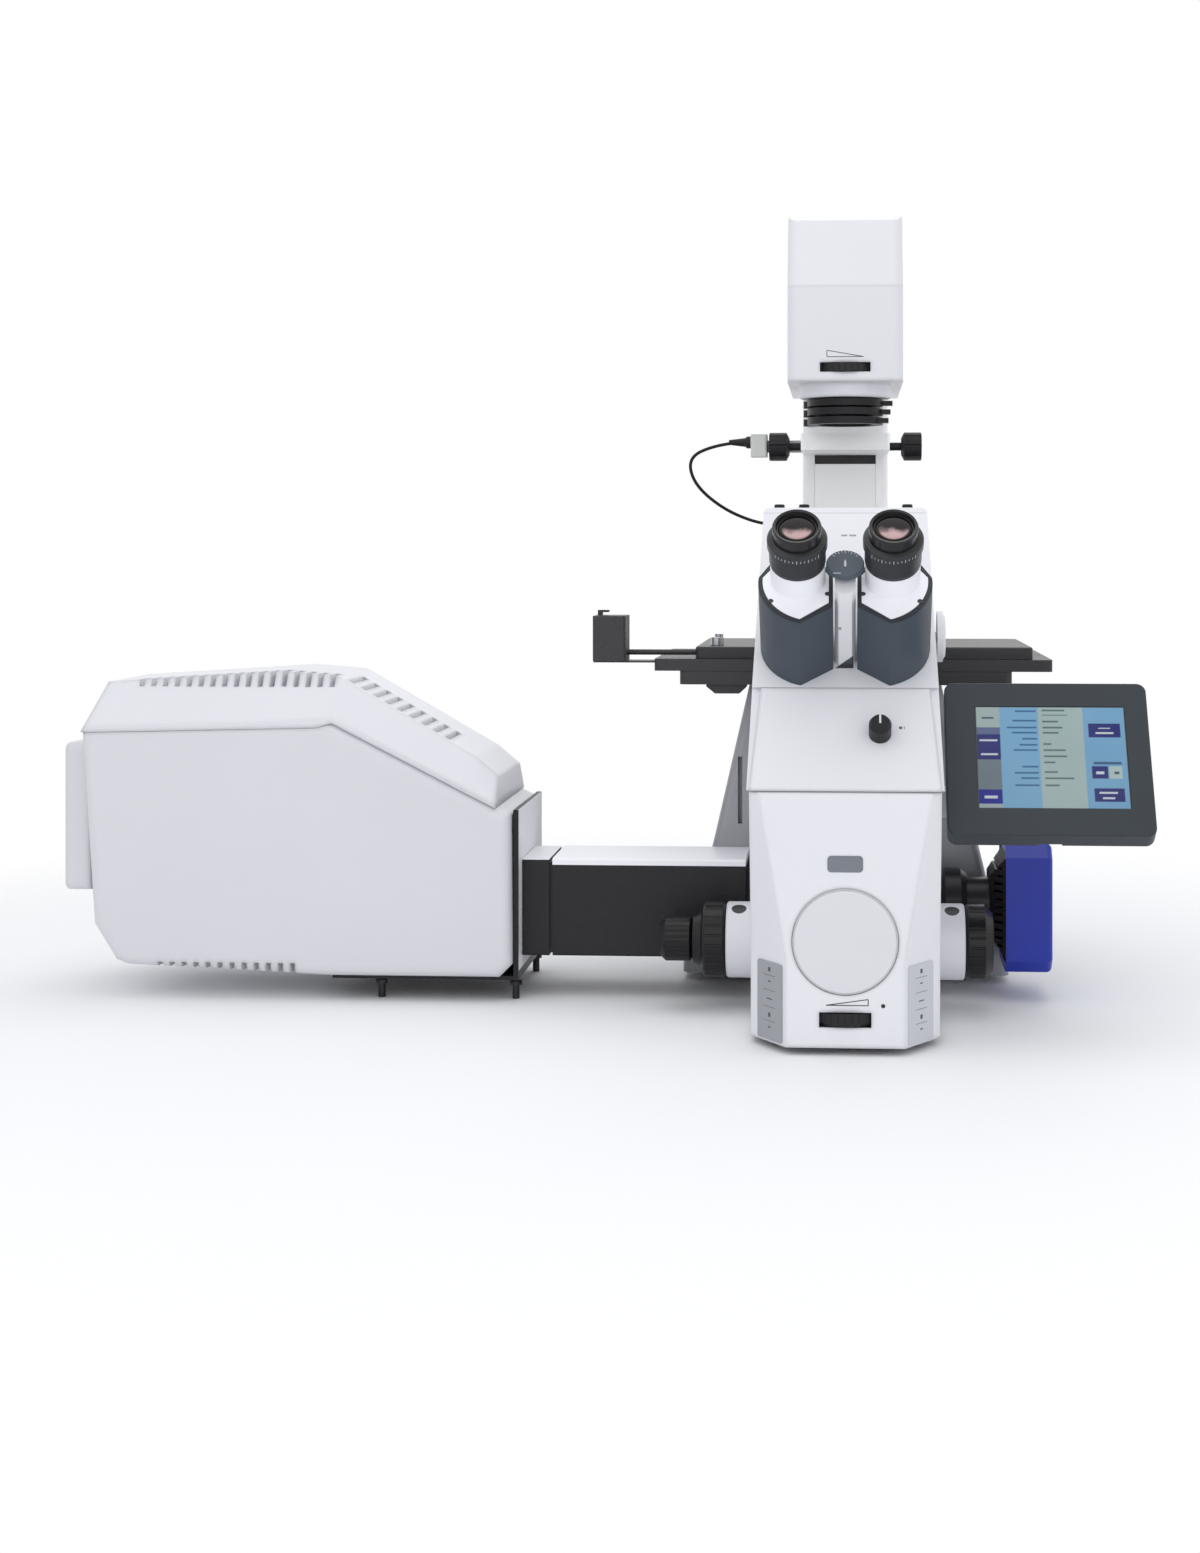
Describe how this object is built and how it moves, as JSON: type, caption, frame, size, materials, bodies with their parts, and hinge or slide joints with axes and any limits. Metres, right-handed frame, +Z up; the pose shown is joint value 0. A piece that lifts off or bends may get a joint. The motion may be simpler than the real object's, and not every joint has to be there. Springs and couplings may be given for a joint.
{
  "type": "confocal microscope",
  "caption": "Inverted microscope stand with binocular head, motor stage and light arm, a confocal scan head on its left port, a camera on its right and a tilted touch display.",
  "frame": {"origin": "centre of the bounding box at bench height, under the feet", "axes": "+X to the user's right, +Y away from the user, +Z up"},
  "size_m": [0.947, 0.731, 0.714],
  "materials": {
    "base_casting": "satin",
    "base_feet": "matte",
    "column_shell": "satin",
    "front_panel": "satin",
    "port_cap": "satin",
    "keypad_left": "matte",
    "keypad_right": "matte",
    "drive_collars": "satin",
    "tube_head": "satin",
    "dock_bracket": "matte",
    "scanner_shell": "satin",
    "scanner_cover": "satin",
    "scanner_side_plate": "satin",
    "scanner_bracket": "matte",
    "scanner_feet": "matte",
    "coupling_body": "matte",
    "coupling_cover": "satin",
    "camera_adapter": "brushed",
    "camera_heatsink": "anodised",
    "camera_shell": "satin",
    "stage_frame": "anodised",
    "coarse_knobs": "matte",
    "fine_knob": "matte",
    "nosepiece_carrier": "satin",
    "objective_turret": "satin",
    "objectives": "brushed",
    "reflector_turret": "anodised",
    "stage_cross_plate": "anodised",
    "stage_motor": "matte",
    "stage_top_plate": "anodised",
    "specimen_insert": "satin",
    "clamp_lever": "matte",
    "selector_knob": "matte",
    "brightness_wheel": "matte",
    "head_wheel": "matte",
    "left_tube": "satin",
    "right_tube": "satin",
    "left_tube_cover": "matte",
    "right_tube_cover": "matte",
    "left_eyepiece": "satin",
    "right_eyepiece": "satin",
    "pupil_disc": "matte",
    "side_wheel": "matte",
    "arm_pillar": "satin",
    "arm_head": "satin",
    "lamp_module": "satin",
    "filter_upper": "matte",
    "filter_middle": "matte",
    "filter_lower": "matte",
    "condenser_carriage": "satin",
    "condenser_turret": "satin",
    "condenser_lens": "satin",
    "condenser_knobs": "matte",
    "sensor_pod": "matte",
    "cable_socket": "matte",
    "pod_cable": "matte",
    "display_housing": "matte",
    "display_glass": "gloss"
  },
  "bodies": {
    "stand": {"base_casting": "base_casting", "base_feet": "base_feet", "column_shell": "column_shell", "front_panel": "front_panel", "port_cap": "port_cap", "keypad_left": "keypad_left", "keypad_right": "keypad_right", "drive_collars": "drive_collars", "tube_head": "tube_head", "dock_bracket": "dock_bracket", "scanner_shell": "scanner_shell", "scanner_cover": "scanner_cover", "scanner_side_plate": "scanner_side_plate", "scanner_bracket": "scanner_bracket", "scanner_feet": "scanner_feet", "coupling_body": "coupling_body", "coupling_cover": "coupling_cover", "camera_adapter": "camera_adapter", "camera_heatsink": "camera_heatsink", "camera_shell": "camera_shell", "stage_frame": "stage_frame"},
    "coarse_drive": {"coarse_knobs": "coarse_knobs"},
    "fine_drive": {"fine_knob": "fine_knob"},
    "nosepiece": {"nosepiece_carrier": "nosepiece_carrier"},
    "turret": {"objective_turret": "objective_turret", "objectives": "objectives"},
    "reflectors": {"reflector_turret": "reflector_turret"},
    "cross_slide": {"stage_cross_plate": "stage_cross_plate", "stage_motor": "stage_motor"},
    "specimen_slide": {"stage_top_plate": "stage_top_plate", "specimen_insert": "specimen_insert"},
    "lever": {"clamp_lever": "clamp_lever"},
    "selector": {"selector_knob": "selector_knob"},
    "brightness": {"brightness_wheel": "brightness_wheel"},
    "lamp_dial": {"head_wheel": "head_wheel"},
    "left_eye": {"left_tube": "left_tube", "left_tube_cover": "left_tube_cover", "pupil_disc": "pupil_disc"},
    "right_eye": {"right_tube": "right_tube", "right_tube_cover": "right_tube_cover"},
    "left_ocular": {"left_eyepiece": "left_eyepiece"},
    "right_ocular": {"right_eyepiece": "right_eyepiece"},
    "head_dial": {"side_wheel": "side_wheel"},
    "light_arm": {"arm_pillar": "arm_pillar", "arm_head": "arm_head", "lamp_module": "lamp_module", "sensor_pod": "sensor_pod", "pod_cable": "pod_cable", "cable_socket": "cable_socket"},
    "upper_filter": {"filter_upper": "filter_upper"},
    "middle_filter": {"filter_middle": "filter_middle"},
    "lower_filter": {"filter_lower": "filter_lower"},
    "condenser": {"condenser_carriage": "condenser_carriage", "condenser_lens": "condenser_lens"},
    "condenser_wheel": {"condenser_turret": "condenser_turret"},
    "condenser_drive": {"condenser_knobs": "condenser_knobs"},
    "display": {"display_housing": "display_housing", "display_glass": "display_glass"}
  },
  "joints": [
    {"name": "coarse_focus", "type": "hinge", "parent": "stand", "child": "coarse_drive", "pos_m": [0.2255, -0.17047, 0.06], "axis": [1, 0, 0], "range_deg": [-1081, 136]},
    {"name": "fine_focus", "type": "hinge", "parent": "stand", "child": "fine_drive", "pos_m": [0.2255, -0.17047, 0.06], "axis": [1, 0, 0], "continuous": true},
    {"name": "nosepiece_lift", "type": "slide", "parent": "stand", "child": "nosepiece", "axis": [0, 0, 1], "range_m": [-0.012, 0.0015]},
    {"name": "turret_turn", "type": "hinge", "parent": "nosepiece", "child": "turret", "pos_m": [0.2255, 0.06851, 0.243], "axis": [0, 0.2588, 0.9659], "continuous": true},
    {"name": "reflector_turn", "type": "hinge", "parent": "stand", "child": "reflectors", "pos_m": [0.2255, 0.07753, 0.12], "axis": [0, 0, 1], "continuous": true},
    {"name": "stage_y", "type": "slide", "parent": "stand", "child": "cross_slide", "axis": [0, 1, 0], "range_m": [-0.036, 0.036]},
    {"name": "stage_x", "type": "slide", "parent": "cross_slide", "child": "specimen_slide", "axis": [1, 0, 0], "range_m": [-0.06, 0.06]},
    {"name": "clamp_turn", "type": "hinge", "parent": "specimen_slide", "child": "lever", "pos_m": [0.1075, -0.03847, 0.312], "axis": [0, 0, 1], "range_deg": [0, 60]},
    {"name": "selector_turn", "type": "hinge", "parent": "stand", "child": "selector", "pos_m": [0.2532, -0.31794, 0.25], "axis": [0, -0.7975, 0.6033], "range_deg": [-90, 0]},
    {"name": "brightness_turn", "type": "hinge", "parent": "stand", "child": "brightness", "pos_m": [0.2255, -0.32265, 0.028], "axis": [0, 0, 1], "range_deg": [-135, 135]},
    {"name": "left_tube_swing", "type": "hinge", "parent": "stand", "child": "left_eye", "pos_m": [0.2255, -0.35047, 0.414], "axis": [0, -0.7071, 0.7071], "range_deg": [-42, 0]},
    {"name": "right_tube_swing", "type": "hinge", "parent": "stand", "child": "right_eye", "pos_m": [0.2255, -0.35047, 0.414], "axis": [0, -0.7071, 0.7071], "range_deg": [0, 42]},
    {"name": "left_diopter", "type": "hinge", "parent": "left_eye", "child": "left_ocular", "pos_m": [0.1876, -0.35047, 0.414], "axis": [0, -0.7071, 0.7071], "range_deg": [-120, 120]},
    {"name": "right_diopter", "type": "hinge", "parent": "right_eye", "child": "right_ocular", "pos_m": [0.2634, -0.35047, 0.414], "axis": [0, -0.7071, 0.7071], "range_deg": [-120, 120]},
    {"name": "side_wheel_turn", "type": "hinge", "parent": "stand", "child": "head_dial", "pos_m": [0.3075, -0.16047, 0.322], "axis": [1, 0, 0], "range_deg": [-90, 90]},
    {"name": "arm_tilt", "type": "hinge", "parent": "stand", "child": "light_arm", "pos_m": [0.2255, 0.23553, 0.288], "axis": [1, 0, 0], "range_deg": [-35, 0]},
    {"name": "lamp_dial_turn", "type": "hinge", "parent": "light_arm", "child": "lamp_dial", "pos_m": [0.2255, 0.01653, 0.5675], "axis": [0, 0, 1], "range_deg": [-135, 135]},
    {"name": "upper_filter_swing", "type": "hinge", "parent": "light_arm", "child": "upper_filter", "pos_m": [0.1925, 0.06153, 0.537], "axis": [0, 0, 1], "range_deg": [-70, 0]},
    {"name": "middle_filter_swing", "type": "hinge", "parent": "light_arm", "child": "middle_filter", "pos_m": [0.1925, 0.06153, 0.528], "axis": [0, 0, 1], "range_deg": [-70, 0]},
    {"name": "lower_filter_swing", "type": "hinge", "parent": "light_arm", "child": "lower_filter", "pos_m": [0.1925, 0.06153, 0.519], "axis": [0, 0, 1], "range_deg": [-70, 0]},
    {"name": "condenser_knob", "type": "hinge", "parent": "light_arm", "child": "condenser_drive", "pos_m": [0.2255, 0.11753, 0.499], "axis": [1, 0, 0], "range_deg": [-178, 35]},
    {"name": "condenser_lift", "type": "slide", "parent": "light_arm", "child": "condenser", "axis": [0, 0, 1], "range_m": [-0.0248, 0.0048]},
    {"name": "condenser_turn", "type": "hinge", "parent": "condenser", "child": "condenser_wheel", "pos_m": [0.2255, 0.06953, 0.408], "axis": [0, 0, 1], "continuous": true},
    {"name": "display_lift", "type": "slide", "parent": "stand", "child": "display", "axis": [0, 0.5548, 0.832], "range_m": [0, 0.06]}
  ],
  "couplings": [
    {"joint": "coarse_focus", "follows": "nosepiece_lift", "rad_per_m": 1570.8},
    {"joint": "right_tube_swing", "follows": "left_tube_swing", "ratio": -1},
    {"joint": "condenser_knob", "follows": "condenser_lift", "rad_per_m": 125}
  ]
}
